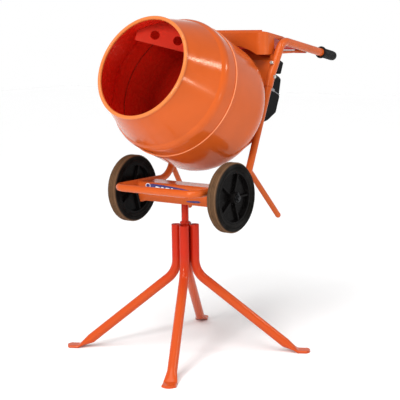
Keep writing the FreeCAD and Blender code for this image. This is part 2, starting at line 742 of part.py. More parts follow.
def gear_profile(module, teeth, phase):
    """Involute teeth with a little backlash; phase is the angle of one tooth's middle."""
    pitch = module * teeth / 2
    base = pitch * math.cos(PRESSURE)
    root = pitch - 1.25 * module
    tip = pitch + 0.95 * module
    half = math.pi / (2 * teeth) - 0.05 * module / pitch
    flank = []
    for step in range(5):
        radius = max(base, root) + (tip - max(base, root)) * step / 4
        flank.append((radius, half + involute(PRESSURE) - involute(math.acos(min(1, base / radius)))))
    points = []
    for tooth in range(teeth):
        middle = math.radians(phase) + 2 * math.pi * tooth / teeth
        rising = [(root, -flank[0][1])] + [(radius, -angle) for radius, angle in flank]
        falling = [(radius, angle) for radius, angle in reversed(flank)] + [(root, flank[0][1])]
        for radius, angle in rising + falling:
            points.append(Vector(radius * math.cos(middle + angle), radius * math.sin(middle + angle), 0))
    if base <= root:
        points = [point for index, point in enumerate(points)
                  if point.distanceToPoint(points[index - 1]) > 1e-6]
    return Part.Face(Part.makePolygon(points + points[:1]))


def gear(module, teeth, bore, face, place, phase=0.0):
    wheel = gear_profile(num(module), round(num(teeth)), phase).extrude(Vector(0, 0, face))
    wheel = wheel.cut(Part.makeCylinder(bore, face + 2, Vector(0, 0, -1)))
    thing = shaped(wheel, "Gear")
    thing.Placement = place
    return thing


def hull_face(circles):
    """The outline drawn tight round three circles."""
    faces = [Part.Face(Part.Wire([Part.makeCircle(radius, centre)])) for centre, radius in circles]
    faces.append(Part.Face(Part.makePolygon([centre for centre, _ in circles] + [circles[0][0]])))
    for index, (centre_a, radius_a) in enumerate(circles):
        centre_b, radius_b = circles[(index + 1) % len(circles)]
        along = centre_b - centre_a
        gap = along.Length
        heading = math.atan2(along.y, along.x)
        tangent = math.acos((radius_a - radius_b) / gap)
        corners = []
        for centre, radius, sign in ((centre_a, radius_a, 1), (centre_b, radius_b, 1),
                                     (centre_b, radius_b, -1), (centre_a, radius_a, -1)):
            angle = heading + sign * tangent
            corners.append(centre + Vector(math.cos(angle), math.sin(angle), 0) * radius)
        faces.append(Part.Face(Part.makePolygon(corners + corners[:1])))
    return faces[0].multiFuse(faces[1:]).removeSplitter()


def box_outline(extra):
    big = num(size.big_module) * (num(size.big_teeth) / 2 + 1) + 4
    small = num(size.small_module) * (num(size.small_teeth) / 2 + 1) + 4
    return hull_face([(Vector(), big + extra), (LAY, small + extra), (INPUT, 22 + extra)])


def slab(face, low, high):
    return face.translated(Vector(0, 0, low)).extrude(Vector(0, 0, high - low))


BEARINGS = (
    # axis, bore, outside radius, rear face, width
    ("output", 15.0, 31.0, -22.0, 12.0), ("output", 15.0, 23.5, -71.0, 9.0),
    ("lay", 7.5, 17.5, -21.0, 11.0), ("lay", 7.5, 17.5, -71.0, 10.0),
    ("input", 7.5, 17.5, -21.0, 11.0), ("input", 7.5, 17.5, -71.0, 10.0))
AXES = {"output": Vector(), "lay": LAY, "input": INPUT}


def build_gearbox():
    wall, back, split = num(size.box_wall), -num(size.box_back), -num(size.box_split)
    front = -num(size.plate_thick)
    outer, inner = box_outline(wall), box_outline(0)
    case = slab(outer, split, front).cut(slab(inner, split - 1, front - wall))
    cover = slab(outer, back, split).cut(slab(inner, back + wall, split + 1))
    for name, bore, radius, low, width in BEARINGS:
        centre = AXES[name]
        high = low + width
        if low > split:
            boss = Part.makeCylinder(radius + 4, front - low, centre + Vector(0, 0, low))
            case = case.fuse(boss).cut(Part.makeCylinder(radius, width, centre + Vector(0, 0, low)))
        else:
            boss = Part.makeCylinder(radius + 4, high - back, centre + Vector(0, 0, back))
            cover = cover.fuse(boss).cut(Part.makeCylinder(radius, width, centre + Vector(0, 0, low)))
    case = case.cut(Part.makeCylinder(17, 20, Vector(0, 0, front - 17)))
    cover = cover.cut(Part.makeCylinder(9, 20, INPUT + Vector(0, 0, back - 5)))
    subpart("gearbox_case", placed_shape(case))
    subpart("gearbox_cover", placed_shape(cover))
    gap = num(size.run_gap)
    subpart("gearbox_bearings", group(*[
        placed_shape(bearing(AXES[name] + Vector(0, 0, low), bore + gap, radius, width))
        for name, bore, radius, low, width in BEARINGS]))
    bolts = []
    for spot, reach, angle in ((Vector(), 86, -100), (Vector(), 86, -40), (Vector(), 86, 10),
                               (LAY, 66, 120), (LAY, 66, 190), (LAY, 66, 260), (INPUT, 26, 60)):
        where = spot + Rotation(Z_AXIS, angle).multVec(Vector(reach - 1, 0, back))
        bolts.append(bolt(10, 3, HEAD * Placement(where, Rotation(X_AXIS, 180)), 6))
    subpart("gearbox_bolts", group(*bolts))


def bearing(corner, bore, radius, width):
    race = Part.makeCylinder(radius, width, corner).cut(Part.makeCylinder(bore, width, corner))
    groove = (radius + bore) / 2
    for level in (-1, width - 0.8):
        dip = Part.makeCylinder(groove + 2.5, 1.8, corner + Vector(0, 0, level))
        race = race.cut(dip.cut(Part.makeCylinder(groove - 2.5, 1.8, corner + Vector(0, 0, level))))
    return race


def placed_shape(shape):
    thing = shaped(shape, "Casting")
    thing.Placement = HEAD
    return thing


def build_train():
    shaft = size.shaft_dia / 2
    subpart("output_shaft", turned("OutputShaft", [
        (0, -70.5), (shaft, -70.5), (shaft, BASE_FACE), (8, BASE_FACE), (8, BASE_FACE + 24),
        (7, BASE_FACE + 25), (0, BASE_FACE + 25)], in_head(0, 0, 0)))
    lay_angle = num(size.lay_angle)
    subpart("output_gear", gear(size.big_module, size.big_teeth, num(shaft), 19,
                                in_head(0, 0, -43.5), lay_angle))
    pinion_phase = lay_angle + 180 + 180 / num(size.big_pinion)
    lay_place = in_head(LAY.x, LAY.y, 0)
    pinion = gear(size.big_module, size.big_pinion, 7.4, 22,
                  lay_place * Placement(Vector(0, 0, -45), Rotation()), pinion_phase)
    subpart("layshaft", joined(
        cylinder(7.5, 60, lay_place * Placement(Vector(0, 0, -70.5), Rotation())), pinion))
    input_angle = num(size.input_angle)
    subpart("layshaft_gear", gear(size.small_module, size.small_teeth, 7.5, 12,
                                  lay_place * Placement(Vector(0, 0, -59), Rotation()), input_angle))
    input_place = in_head(INPUT.x, INPUT.y, 0)
    driver = gear(size.small_module, size.small_pinion, 7.4, 13,
                  input_place * Placement(Vector(0, 0, -59.5), Rotation()),
                  input_angle + 180 + 180 / num(size.small_pinion))
    subpart("input_shaft", joined(
        cylinder(7.5, size.belt_plane, input_place * Placement(
            Vector(0, 0, -num(size.belt_plane) - 10.5), Rotation())), driver))
    subpart("driven_pulley", pulley(size.driven_pulley / 2, Size.of(7.5), INPUT, True))
    subpart("motor_pulley", pulley(size.motor_pulley / 2, Size.of(7), motor_centre(), False))
    subpart("drive_belt", belt())


def motor_centre():
    return Vector(0, num(size.motor_height), 0)


def pulley(radius, bore, centre, spoked):
    """A grooved pulley with a rim at each side of the belt."""
    half = size.belt_width / 2 + 0.6
    rim = radius + (4 if spoked else 3)
    corners = [(bore, -half - 2.4), (rim, -half - 2.4), (rim, -half)]
    for index in range(5):
        level = -4.8 + 2.4 * index
        corners += [(radius, level - 1.2), (radius - 1.2, level)]
    corners += [(radius, 6.0), (rim, half), (rim, half + 2.4), (bore, half + 2.4)]
    body = turned("Pulley", corners, in_head(centre.x, centre.y, -size.belt_plane))
    if not spoked:
        return body
    dish = []
    for index in range(5):
        spot = Rotation(Z_AXIS, 72 * index).multVec(Vector(24, 0, -12))
        dish.append(cylinder(8, 24, in_head(centre.x, centre.y, -size.belt_plane)
                             * Placement(spot, Rotation())))
    return cut(body, *dish)


def belt():
    """The belt lies just off both pulleys."""
    loops = []
    for extra in (num(size.belt_thick) + 0.3, 0.3):
        rounds = [(INPUT, num(size.driven_pulley) / 2 + extra),
                  (motor_centre(), num(size.motor_pulley) / 2 + extra)]
        loops.append(pair_hull(rounds))
    width = num(size.belt_width) - 1
    low = -num(size.belt_plane) - width / 2
    return placed_shape(slab(loops[0], low, low + width).cut(slab(loops[1], low, low + width)))


def pair_hull(circles):
    (centre_a, radius_a), (centre_b, radius_b) = circles
    along = centre_b - centre_a
    heading = math.atan2(along.y, along.x)
    tangent = math.acos((radius_a - radius_b) / along.Length)

    def spot(centre, radius, angle):
        return centre + Vector(math.cos(angle), math.sin(angle), 0) * radius

    start_a, end_a = heading + tangent, heading - tangent
    return Part.Face(Part.Wire([
        Part.Arc(spot(centre_a, radius_a, start_a), spot(centre_a, radius_a, heading + math.pi),
                 spot(centre_a, radius_a, end_a)).toShape(),
        Part.makeLine(spot(centre_a, radius_a, end_a), spot(centre_b, radius_b, end_a)),
        Part.Arc(spot(centre_b, radius_b, end_a), spot(centre_b, radius_b, heading),
                 spot(centre_b, radius_b, start_a)).toShape(),
        Part.makeLine(spot(centre_b, radius_b, start_a), spot(centre_a, radius_a, start_a))]))


def build_motor():
    radius, back = size.motor_dia / 2, size.motor_back
    place = in_head(0, size.motor_height, 0)
    corners = [(radius - 7, -back + 6), (radius - 3, -back + 6), (radius - 3, -back + 16)]
    for index in range(9):
        level = -back + 16 + 10 * index
        corners += [(radius, level + 1), (radius, level + 5), (radius - 3, level + 6),
                    (radius - 3, level + 10)]
    corners += [(radius - 3, -12), (radius - 7, -12)]
    housing = turned("MotorHousing", corners, place)
    front_bell = turned("FrontBell", [
        (9, -12), (radius, -12), (radius, -size.plate_thick), (9, -size.plate_thick)], place)
    rear_bell = turned("RearBell", [
        (7.3, -back), (20, -back), (24, -back + 2), (radius - 4, -back + 2), (radius, -back + 5),
        (radius, -back + 6), (7.3, -back + 6)], place)
    subpart("motor_end_bells", group(front_bell, rear_bell))
    stator = turned("Stator", [(37, -98), (radius - 7, -98), (radius - 7, -36), (37, -36)], place)
    subpart("motor_housing", group(housing, stator))
    tail = -size.belt_plane - 11
    rotor = turned("Rotor", [
        (0, tail), (7, tail), (7, -98), (36.4, -98), (36.4, -36), (7, -36), (7, -12.3), (0, -12.3)],
        place)
    blades = [block(26, 3, 12, place * Placement(Rotation(Z_AXIS, 60 * index).multVec(
        Vector(18, -1.5, -117)), Rotation(Z_AXIS, 60 * index))) for index in range(6)]
    fan = joined(ring(46, 7, 3, place * Placement(Vector(0, 0, -105), Rotation())),
                 ring(20, 7, 12, place * Placement(Vector(0, 0, -117), Rotation())), *blades)
    subpart("motor_rotor", group(rotor, fan))


# ---- plate, guard, hood and switch ----------------------------------------------------------

def build_plate():
    thick = size.plate_thick
    half = size.track_half - 4
    corners = [(-half, -size.plate_low + 60), (-half + 60, -size.plate_low), (half - 60, -size.plate_low),
               (half, -size.plate_low + 60), (half, size.plate_top), (-half, size.plate_top)]
    plate = padded_plate("Plate", corners, thick, in_head(0, 0, -thick))
    tubes = [bar(side) for bar in (side_bar, handle_bar) for side in (-1, 1)]
    way = cylinder(40, 20, in_head(0, 0, -12))
    lean = Rotation(X_AXIS, num(size.flange_lean))
    flange = block(size.flange_width, size.flange_height, thick,
                   in_head(-size.flange_width / 2, size.plate_top - 2, -thick, lean))
    subpart("mounting_plate", cut(joined(plate, flange), way, *tubes))


def guard_solid(inset):
    """The rounded outer form of the belt guard, or its inner form when inset."""
    half = num(size.guard_half) - inset
    across = [(-half, 265 - inset), (half, 265 - inset), (half, 40 + inset), (96 - inset, -30 + inset),
              (96 - inset, -72 + inset), (66 - inset, -100 + inset), (inset - 66, -100 + inset),
              (-half, -44 + inset)]
    face = Part.Face(Part.makePolygon([Vector(x, y, -210) for x, y in across + across[:1]]))
    body = face.extrude(Vector(0, 0, 202 + inset))
    edges = [edge for edge in body.Edges if abs(edge.tangentAt(edge.FirstParameter).z) > 0.99]
    body = body.makeFillet(24 - inset, edges)
    side = [(-110, 0), (-110, -86), (-40, -92), (26, -124), (96, -186), (172, -186), (180, -178),
            (253, -166), (267, -150), (267, 0)]
    profile = [Vector(-200, y, z + inset if z < 0 else z) for y, z in side]
    return body.common(Part.Face(Part.makePolygon(profile + profile[:1])).extrude(Vector(400, 0, 0)))


def build_guard():
    shell = guard_solid(0).cut(guard_solid(3))
    seam, big = num(size.guard_seam), 500
    lower = Part.makeBox(big, big, big, Vector(-250, seam - big, -300))
    upper = Part.makeBox(big, big, big, Vector(-250, seam, -300))
    vents = [Part.makeBox(44, 5, 60, Vector(x, y, -200)) for x in (-100, -22, 56)
             for y in (196, 208, 220)]
    low_vents = [Part.makeBox(44, 5, 60, Vector(x, y, -210)) for x in (-100, -22, 56)
                 for y in (112, 124, 136, 148)]
    subpart("belt_guard_lower", placed_shape(shell.common(lower).cut(low_vents)))
    subpart("belt_guard_upper", placed_shape(shell.common(upper).cut(vents)))
    beads = [block(30, 6, 8, in_head(x, seam - 3, -187)) for x in (-120, 90)]
    beads += [block(6, 12, 26, in_head(side * (num(size.guard_half) + 2) - 3, seam - 6, z))
              for side in (-1, 1) for z in (-60, -130)]
    inner = placed_shape(guard_solid(0))
    subpart("guard_clips", group(*[cut(bead, inner) for bead in beads]))


def hood_outline(inset):
    """Side view of the hood: upright front, top falling gently, long slope to the hinge."""
    front, top, low = num(size.hood_front), num(size.hood_top), num(size.hood_low)
    back, rod = num(size.hood_hinge_back), num(size.hood_hinge_height)
    return [(front + inset, low - (20 if inset else 0)), (front + inset, top - 6 - inset),
            (front + 6, top - inset), (500, top - 27 - inset), (512, top - 31 - inset * 1.1),
            (back, rod + 10 - inset * 1.2), (back, rod - 4 if not inset else low - 20),
            (back - 16, low if not inset else low - 20)]


HOOD_OPENING = [(430, 1310), (690, 1310), (430, 1373)]


def hood_plan(inset):
    """The hood from above, as a tall block with its two front corners rounded."""
    half, front = num(size.hood_half) - inset, num(size.hood_front) + inset
    bend = num(size.hood_corner) - inset
    middle, back, low = bend * (1 - math.sqrt(0.5)), num(size.hood_hinge_back) + 50, num(size.hood_low) - 60
    sides = [Part.makeLine(Vector(side * half, back, low), Vector(side * half, front + bend, low))
             for side in (-1, 1)]
    corners = [Part.Arc(Vector(side * half, front + bend, low),
                        Vector(side * (half - middle), front + middle, low),
                        Vector(side * (half - bend), front, low)).toShape() for side in (-1, 1)]
    face_line = Part.makeLine(Vector(bend - half, front, low), Vector(half - bend, front, low))
    back_line = Part.makeLine(Vector(-half, back, low), Vector(half, back, low))
    wire = Part.Wire(Part.__sortEdges__([*sides, *corners, face_line, back_line]))
    return Part.Face(wire).extrude(Vector(0, 0, 300))


def build_hood():
    half, thin = num(size.hood_half), num(size.hood_sheet)
    solids = []
    for inset in (0, thin):
        corners = [Vector(inset - half, y, z) for y, z in hood_outline(inset)]
        side_form = Part.Face(Part.makePolygon(corners + corners[:1]))
        solids.append(side_form.extrude(Vector(2 * (half - inset), 0, 0)).common(hood_plan(inset)))
    shell = solids[0].cut(solids[1])
    arch = Part.makeCylinder(320, 400, head(0, 0, 10), HEAD.Rotation.multVec(Z_AXIS))
    shell = shell.cut(arch)
    rod = Part.makeCylinder(num(size.hood_rod) / 2 + 0.3, 500, Vector(
        -250, num(size.hood_hinge_back), num(size.hood_hinge_height)), X_AXIS)
    barrels = [Part.makeCylinder(8, 60, Vector(
        start, num(size.hood_hinge_back), num(size.hood_hinge_height)), X_AXIS) for start in (-150, 90)]
    lid = Part.makeBox(2 * half - 40, 9, 6, Vector(
        20 - half, num(size.hood_front) + 8, num(size.hood_top) - 1))
    corners = [Vector(half - 10, y, z) for y, z in HOOD_OPENING]
    opening = Part.Face(Part.makePolygon(corners + corners[:1])).extrude(Vector(20, 0, 0))
    hood = shell.multiFuse(barrels + [lid]).cut([rod, opening])
    subpart("hood", shaped(hood, "Hood"))
    length = 2 * (size.track_half - size.handle_dia / 2)
    subpart("hood_hinge_rod", cylinder(
        size.hood_rod / 2, length, at(-length / 2, size.hood_hinge_back, size.hood_hinge_height, ALONG_X)))
    rests = []
    for side in (-1, 1):
        rests.append(block(30, 24, 4, at(side * 184 - 15, 405, num(size.hood_low) - 4.2)))
        rests.append(block(12, 24, 26, at(side * 192 - 6, 405, num(size.hood_low) - 30.2)))
    return cut(joined(*rests), handle_bar(-1), handle_bar(1))


SWITCH = (162.0, 246.0, -93.0)
SWITCH_SPAN = (42.0, 58.0, 56.0)


def build_switch():
    """A box beside the right handle, with its two buttons on the rear face, and its bracket."""
    x, y, z = SWITCH
    wide, tall, deep = SWITCH_SPAN
    box = Part.makeBox(wide, tall, deep, Vector(x, y, z))
    box = box.makeFillet(7, box.Edges)
    box = box.cut(Part.makeBox(wide - 8, tall - 8, deep - 8, Vector(x + 4, y + 4, z + 4)))
    across, rearward = x + wide / 2, -Z_AXIS
    collars = []
    for level in (y + 18, y + 40):
        hole = Part.makeCylinder(7.4, 12, Vector(across, level, z + 8), rearward)
        collars.append(Part.makeCylinder(9.5, 3, Vector(across, level, z), rearward).cut(hole))
        box = box.cut(hole)
    middle = z + deep / 2
    tail = Part.makeCylinder(6.3, 12, Vector(across, y - 2, middle), Y_AXIS)
    subpart("switch_box", placed_shape(box.multiFuse(collars).cut(tail)))
    for name, level in (("stop_button", y + 18), ("start_button", y + 40)):
        cap = Part.makeCylinder(7, 9, Vector(across, level, z + 3), rearward)
        outer_rim = max(cap.Edges, key=lambda edge: -edge.CenterOfMass.z if edge.Closed else -1000)
        subpart(name, placed_shape(cap.makeFillet(1.5, [outer_rim])))
    gland = Part.makeCylinder(6.2, 10, Vector(across, y, middle), Y_AXIS)
    gland = gland.fuse(Part.makeCylinder(9, 14, Vector(across, y, middle), -Y_AXIS))
    gland = gland.cut(Part.makeCylinder(4, 40, Vector(across, y - 20, middle), Y_AXIS))
    subpart("cable_gland", placed_shape(gland))
    arm = Part.makeBox(30, 14, 30, Vector(175, 256, -38))
    arm = arm.cut(Part.makeBox(wide, tall, deep, Vector(x, y, z)))
    return cut(placed_shape(arm), handle_bar(1))


# ---- build, check and write ------------------------------------------------------------------

build_stand()
build_swivel()
build_frame()
build_wheels()
build_drum()
build_plate()
build_gearbox()
build_train()
build_motor()
build_guard()
subpart("handle_brackets", group(build_hood(), build_switch()))
doc.recompute()

for thing in doc.Objects:
    if "Invalid" in thing.State or "Error" in thing.State:
        raise RuntimeError(f"{thing.Name} ({thing.Label}) failed: {thing.State}")
for thing in subparts:
    if thing.Shape.isNull() or not thing.Shape.isValid() or not thing.Shape.Solids:
        raise RuntimeError(f"{thing.Label} has no valid solid")

os.makedirs("parts", exist_ok=True)
for thing in subparts:
    thing.Shape.exportStep(f"parts/{thing.Label}.step")
print(f"{len(subparts)} sub-parts written")
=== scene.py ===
import json
import math

import bpy
from mathutils import Matrix, Vector


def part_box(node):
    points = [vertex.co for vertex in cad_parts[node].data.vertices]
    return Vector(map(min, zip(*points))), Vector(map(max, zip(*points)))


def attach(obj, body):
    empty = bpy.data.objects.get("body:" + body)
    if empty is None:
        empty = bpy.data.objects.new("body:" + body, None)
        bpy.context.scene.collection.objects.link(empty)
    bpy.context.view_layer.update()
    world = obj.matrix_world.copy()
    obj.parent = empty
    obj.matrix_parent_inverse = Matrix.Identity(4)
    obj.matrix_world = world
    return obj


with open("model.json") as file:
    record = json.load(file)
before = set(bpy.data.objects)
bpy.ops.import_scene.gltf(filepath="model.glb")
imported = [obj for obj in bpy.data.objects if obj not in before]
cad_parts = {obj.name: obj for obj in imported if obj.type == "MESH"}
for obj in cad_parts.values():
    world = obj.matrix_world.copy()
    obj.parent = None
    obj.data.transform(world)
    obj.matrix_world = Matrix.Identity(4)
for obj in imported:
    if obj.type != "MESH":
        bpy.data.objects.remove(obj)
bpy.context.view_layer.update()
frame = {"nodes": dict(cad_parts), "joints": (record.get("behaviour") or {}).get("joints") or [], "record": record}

# A tip-up concrete mixer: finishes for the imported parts, and the small things that go on them.

NODES = frame["nodes"]
JOINTS = {joint["name"]: joint for joint in frame["joints"]}
SLOT_OF = {part["node"]: part["material_slot"] for part in frame["record"]["subparts"]}
TURN = 2 * math.pi
X_WAY, Y_WAY, Z_WAY = Vector((1, 0, 0)), Vector((0, 1, 0)), Vector((0, 0, 1))

# the machine's head: its origin is where the drum's axis meets the mounting plate
HEAD = Vector(JOINTS["drum_spin"]["pos_m"])
HEAD_AHEAD = Vector(JOINTS["drum_spin"]["axis"])
HEAD_UP = HEAD_AHEAD.cross(X_WAY)

# the drum: how far its mouth is from the head's origin, and depths measured from the mouth
MOUTH_REACH = 0.611
BEAD_RADIUS = 0.008
SEAM_OUTSIDE, SEAM_INSIDE = 0.260, 0.272
SEAM_RADIUS = 0.2994
# painted shade: the drum's inside is painted darker between these depths
INSIDE_SHADE_DEPTHS = (0.16, 0.46)  # where the colour inside starts and stops getting darker

# the frame, the stand and the wheels
CHANNEL_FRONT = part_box("cross_channel")[0].y
RAIL_INNER, RAIL_OUTER = (corner.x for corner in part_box("side_tube_right"))
TUBE_RADIUS = (RAIL_OUTER - RAIL_INNER) / 2
TRACK_HALF = (RAIL_OUTER + RAIL_INNER) / 2
RAIL_HEIGHT = 0.7457
POST_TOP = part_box("swivel_post")[1].z
# painted shade: the stand is painted darker red at the top, round the post, fading to orange lower down
LEG_SHADE_FADE = (0.44, 0.26)  # the heights between which the legs go from red to orange
TREAD_FROM = 0.1465
RIB_PITCH, WALL_PITCH = 0.0080, 0.0035

ORANGE = (0.51, 0.084, 0.012)
# painted highlight: the lighter orange of the drum mouth's rolled bead
BEAD_HIGHLIGHT_ORANGE = (0.60, 0.165, 0.042)
# painted highlight: the lighter orange of the drum's seam lip
SEAM_HIGHLIGHT_ORANGE = (0.72, 0.220, 0.090)
# the stand's colours: darker red for the painted shade at the top, and orange lower down
STAND_SHADED_RED = (0.46, 0.016, 0.005)
STAND_ORANGE = (0.50, 0.066, 0.013)
INTERIOR = (0.95, 0.026, 0.010)
PADDLE_RED = (0.58, 0.034, 0.018)
# painted shadow: the dark red of the faces inside the hood
HOOD_SHADOW_RED = (0.42, 0.012, 0.008)
DUST = (0.50, 0.30, 0.18)
PLASTIC_DUST = (0.32, 0.29, 0.26)
WARM = (1.0, 0.76, 0.52)
TYRE_BLACK = (0.005, 0.0042, 0.0036)
TREAD_DUST = (0.200, 0.108, 0.056)


# ---- shader building ------------------------------------------------------------------

class Shader:
    """One procedural material. Its methods add a node each and give back its output."""

    def __init__(self, name):
        self.material = bpy.data.materials.new(name)
        self.material.use_nodes = True
        self.tree = self.material.node_tree
        self.surface = self.tree.nodes["Principled BSDF"]
        self.where = self.add("ShaderNodeTexCoord").outputs["Object"]

    def add(self, kind, **settings):
        node = self.tree.nodes.new(kind)
        for name, value in settings.items():
            setattr(node, name, value)
        return node

    def feed(self, socket, value):
        """Links a node's output to a socket, or sets the socket's value."""
        if isinstance(value, bpy.types.NodeSocket):
            self.tree.links.new(value, socket)
        elif isinstance(value, tuple) and len(value) == 3 and socket.type == "RGBA":
            socket.default_value = (*value, 1)
        else:
            socket.default_value = value

    def maths(self, operation, first, second=0.0):
        node = self.add("ShaderNodeMath", operation=operation)
        self.feed(node.inputs[0], first)
        self.feed(node.inputs[1], second)
        return node.outputs[0]

    def vectors(self, operation, first, second=(0, 0, 0)):
        node = self.add("ShaderNodeVectorMath", operation=operation)
        self.feed(node.inputs[0], first)
        self.feed(node.inputs[1], second)
        return node.outputs["Value" if operation in ("DOT_PRODUCT", "LENGTH") else "Vector"]

    def noise(self, scale, detail=3.0, stretch=None):
        node = self.add("ShaderNodeTexNoise")
        place = self.vectors("MULTIPLY", self.where, stretch) if stretch else self.where
        self.feed(node.inputs["Vector"], place)
        node.inputs["Scale"].default_value = scale
        node.inputs["Detail"].default_value = detail
        return node.outputs["Fac"]

    def cells(self, scale):
        node = self.add("ShaderNodeTexVoronoi")
        self.feed(node.inputs["Vector"], self.where)
        node.inputs["Scale"].default_value = scale
        return node.outputs["Distance"]

    def spread(self, value, low, high, start=0.0, end=1.0):
        """The value's range from low to high, laid out from start to end."""
        node = self.add("ShaderNodeMapRange")
        for name, given in (("Value", value), ("From Min", low), ("From Max", high),
                            ("To Min", start), ("To Max", end)):
            self.feed(node.inputs[name], given)
        return node.outputs["Result"]

    def mix(self, share, first, second):
        node = self.add("ShaderNodeMix", data_type="RGBA")
        self.feed(node.inputs[0], share)
        self.feed(node.inputs[6], first)
        self.feed(node.inputs[7], second)
        return node.outputs[2]

    def bump(self, height, depth, strength=1.0, under=None):
        node = self.add("ShaderNodeBump")
        self.feed(node.inputs["Height"], height)
        node.inputs["Distance"].default_value = depth
        self.feed(node.inputs["Strength"], strength)
        if under:
            self.feed(node.inputs["Normal"], under)
        return node.outputs["Normal"]

    def rounded(self, radius):
        """The surface's normal with its hard edges rounded off."""
        node = self.add("ShaderNodeBevel", samples=4)
        node.inputs["Radius"].default_value = radius
        return node.outputs["Normal"]

    def edges(self, normal):
        """1 on a hard edge, and 0 away from it."""
        flat = self.add("ShaderNodeNewGeometry").outputs["Normal"]
        return self.spread(self.vectors("DOT_PRODUCT", normal, flat), 0.995, 0.90)

    def part_of(self, place, letter):
        """One coordinate of a place or a direction."""
        node = self.add("ShaderNodeSeparateXYZ")
        self.feed(node.inputs[0], place)
        return node.outputs[letter]

    def facing(self):
        """The way the unbumped surface faces, in the object's own frame."""
        return self.add("ShaderNodeTexCoord").outputs["Normal"]

    def radial(self, joint):
        """Distance from a joint's axis, the way out from it, and the place along it."""
        axis = Vector(JOINTS[joint]["axis"])
        arm = self.vectors("SUBTRACT", self.where, tuple(JOINTS[joint]["pos_m"]))
        along = self.vectors("DOT_PRODUCT", arm, tuple(axis))
        reach = self.add("ShaderNodeVectorMath", operation="SCALE")
        reach.inputs[0].default_value = tuple(axis)
        self.feed(reach.inputs["Scale"], along)
        outward = self.vectors("SUBTRACT", arm, reach.outputs["Vector"])
        return self.vectors("LENGTH", outward), outward, along

    def finish(self, colour, roughness, normal=None, metallic=0.0, coat=0.0, coat_roughness=0.1,
               specular=0.5, tint=(1, 1, 1), ior=1.5):
        self.feed(self.surface.inputs["Base Color"], colour)
        self.feed(self.surface.inputs["Roughness"], roughness)
        if normal:
            self.feed(self.surface.inputs["Normal"], normal)
        for name, value in (("Metallic", metallic), ("Coat Weight", coat),
                            ("Coat Roughness", coat_roughness), ("Specular IOR Level", specular),
                            ("IOR", ior)):
            self.surface.inputs[name].default_value = value
        self.surface.inputs["Specular Tint"].default_value = (*tint, 1)
        return self.material


def shade(colour, factor):
    """The colour made darker or lighter."""
    return tuple(min(1.0, channel * factor) for channel in colour)


def lifted(colour, amount):
    """The colour with the same small amount added to each channel."""
    return tuple(channel + amount for channel in colour)


def drum_regions(make):
    """Whether a point is inside the drum, how much it is on the mouth's rolled bead, and its depth."""
    _, outward, along = make.radial("drum_spin")
    away = make.vectors("DOT_PRODUCT", outward, make.facing())
    depth = make.maths("SUBTRACT", MOUTH_REACH, along)
    inner = make.maths("MULTIPLY", make.maths("LESS_THAN", away, 0.0),
                       make.maths("GREATER_THAN", depth, BEAD_RADIUS * 1.1))
    return inner, make.spread(depth, BEAD_RADIUS * 1.2, BEAD_RADIUS * 0.9), depth


def drum_inside(make, colour, depth):
    """The paint inside the drum, with painted shade that darkens it towards the bowl and a painted shadow line
    where the shells lap.
    """
    smear = make.maths("MULTIPLY", make.spread(make.noise(7.0, 1.0), 0.35, 0.7), 0.10)
    shaded_inside = make.mix(make.spread(depth, *INSIDE_SHADE_DEPTHS), colour, shade(colour, 0.42))
    from_seam = make.maths("ABSOLUTE", make.maths("SUBTRACT", depth, SEAM_INSIDE))
    crevice_shadow = make.maths("MULTIPLY", make.spread(from_seam, 0.0045, 0.0015), 0.8)
    shaded_inside = make.mix(crevice_shadow, shaded_inside, shade(colour, 0.12))
    return make.mix(smear, shaded_inside, shade(colour, 0.5))


def under_hood(make):
    """1 on the faces inside the hood, which take painted shadow: those that look down, or across to its other
    side.
    """
    facing = make.facing()
    outward = make.maths("MULTIPLY", make.part_of(facing, "X"), make.part_of(make.where, "X"))
    across = make.maths("MULTIPLY", outward, 5.0)
    return make.maths("LESS_THAN", make.maths("MINIMUM", make.part_of(facing, "Z"), across), -0.35)


def paint(name, colour, gloss=0.20, specular=0.30, inside=None, low_colour=None, hidden=None):
    """Sprayed gloss paint: slight orange peel, rubbed edges and fine dust.

    inside is the colour within the drum, hidden the painted shadow colour for the faces under the hood, and
    low_colour the orange that the stand's legs fade to from their painted shade at the top.
    """
    make = Shader(name)
    drift = make.noise(5.0)
    mottle = make.noise(38.0, 5.0)
    body = make.mix(make.spread(drift, 0.35, 0.65), shade(colour, 0.92), shade(colour, 1.05))
    body = make.mix(make.maths("MULTIPLY", make.spread(mottle, 0.45, 0.8), 0.12), body, shade(colour, 0.85))
    rough = make.spread(mottle, 0.3, 0.7, gloss - 0.04, gloss + 0.08)
    # painted shade: darker at the top, fading with height to the low colour
    if low_colour:
        body = make.mix(make.spread(make.part_of(make.where, "Z"), *LEG_SHADE_FADE), body, low_colour)
    # painted shadow on the faces inside the hood
    if hidden:
        shaded = under_hood(make)
        body = make.mix(shaded, body, hidden)
        rough = make.maths("ADD", rough, make.maths("MULTIPLY", shaded, 0.5))
    # inside the drum: painted shade towards the bowl and along the shells' lap
    if inside:
        inner, on_bead, depth = drum_regions(make)
        body = make.mix(inner, body, drum_inside(make, inside, depth))
        # painted highlight: the mouth's rolled bead is painted a lighter orange
        body = make.mix(on_bead, body, BEAD_HIGHLIGHT_ORANGE)
        rough = make.maths("ADD", rough, make.maths("MULTIPLY", inner, 0.10))
    soft = make.rounded(0.0012)
    rubbed = make.maths("MULTIPLY", make.edges(soft), make.spread(make.noise(60.0, 4.0), 0.48, 0.62))
    body = make.mix(make.maths("MULTIPLY", rubbed, 0.35), body, shade(colour, 1.4))
    specks = make.spread(make.cells(90.0), 0.04, 0.02)
    body = make.mix(make.maths("MULTIPLY", specks, 0.03), body, DUST)
    rough = make.maths("ADD", rough, make.maths("MULTIPLY", rubbed, 0.2))
    calm = make.spread(inner, 0.0, 1.0, 1.0, 0.1) if inside else 1.0
    peel = make.bump(make.noise(420.0, 2.0), 0.00003, make.maths("MULTIPLY", calm, 0.35), soft)
    ripple = make.bump(make.noise(14.0, 1.0), 0.0006, make.maths("MULTIPLY", calm, 0.22), peel)
    return make.finish(body, rough, ripple, coat=0.05, coat_roughness=0.05, specular=specular, tint=WARM)


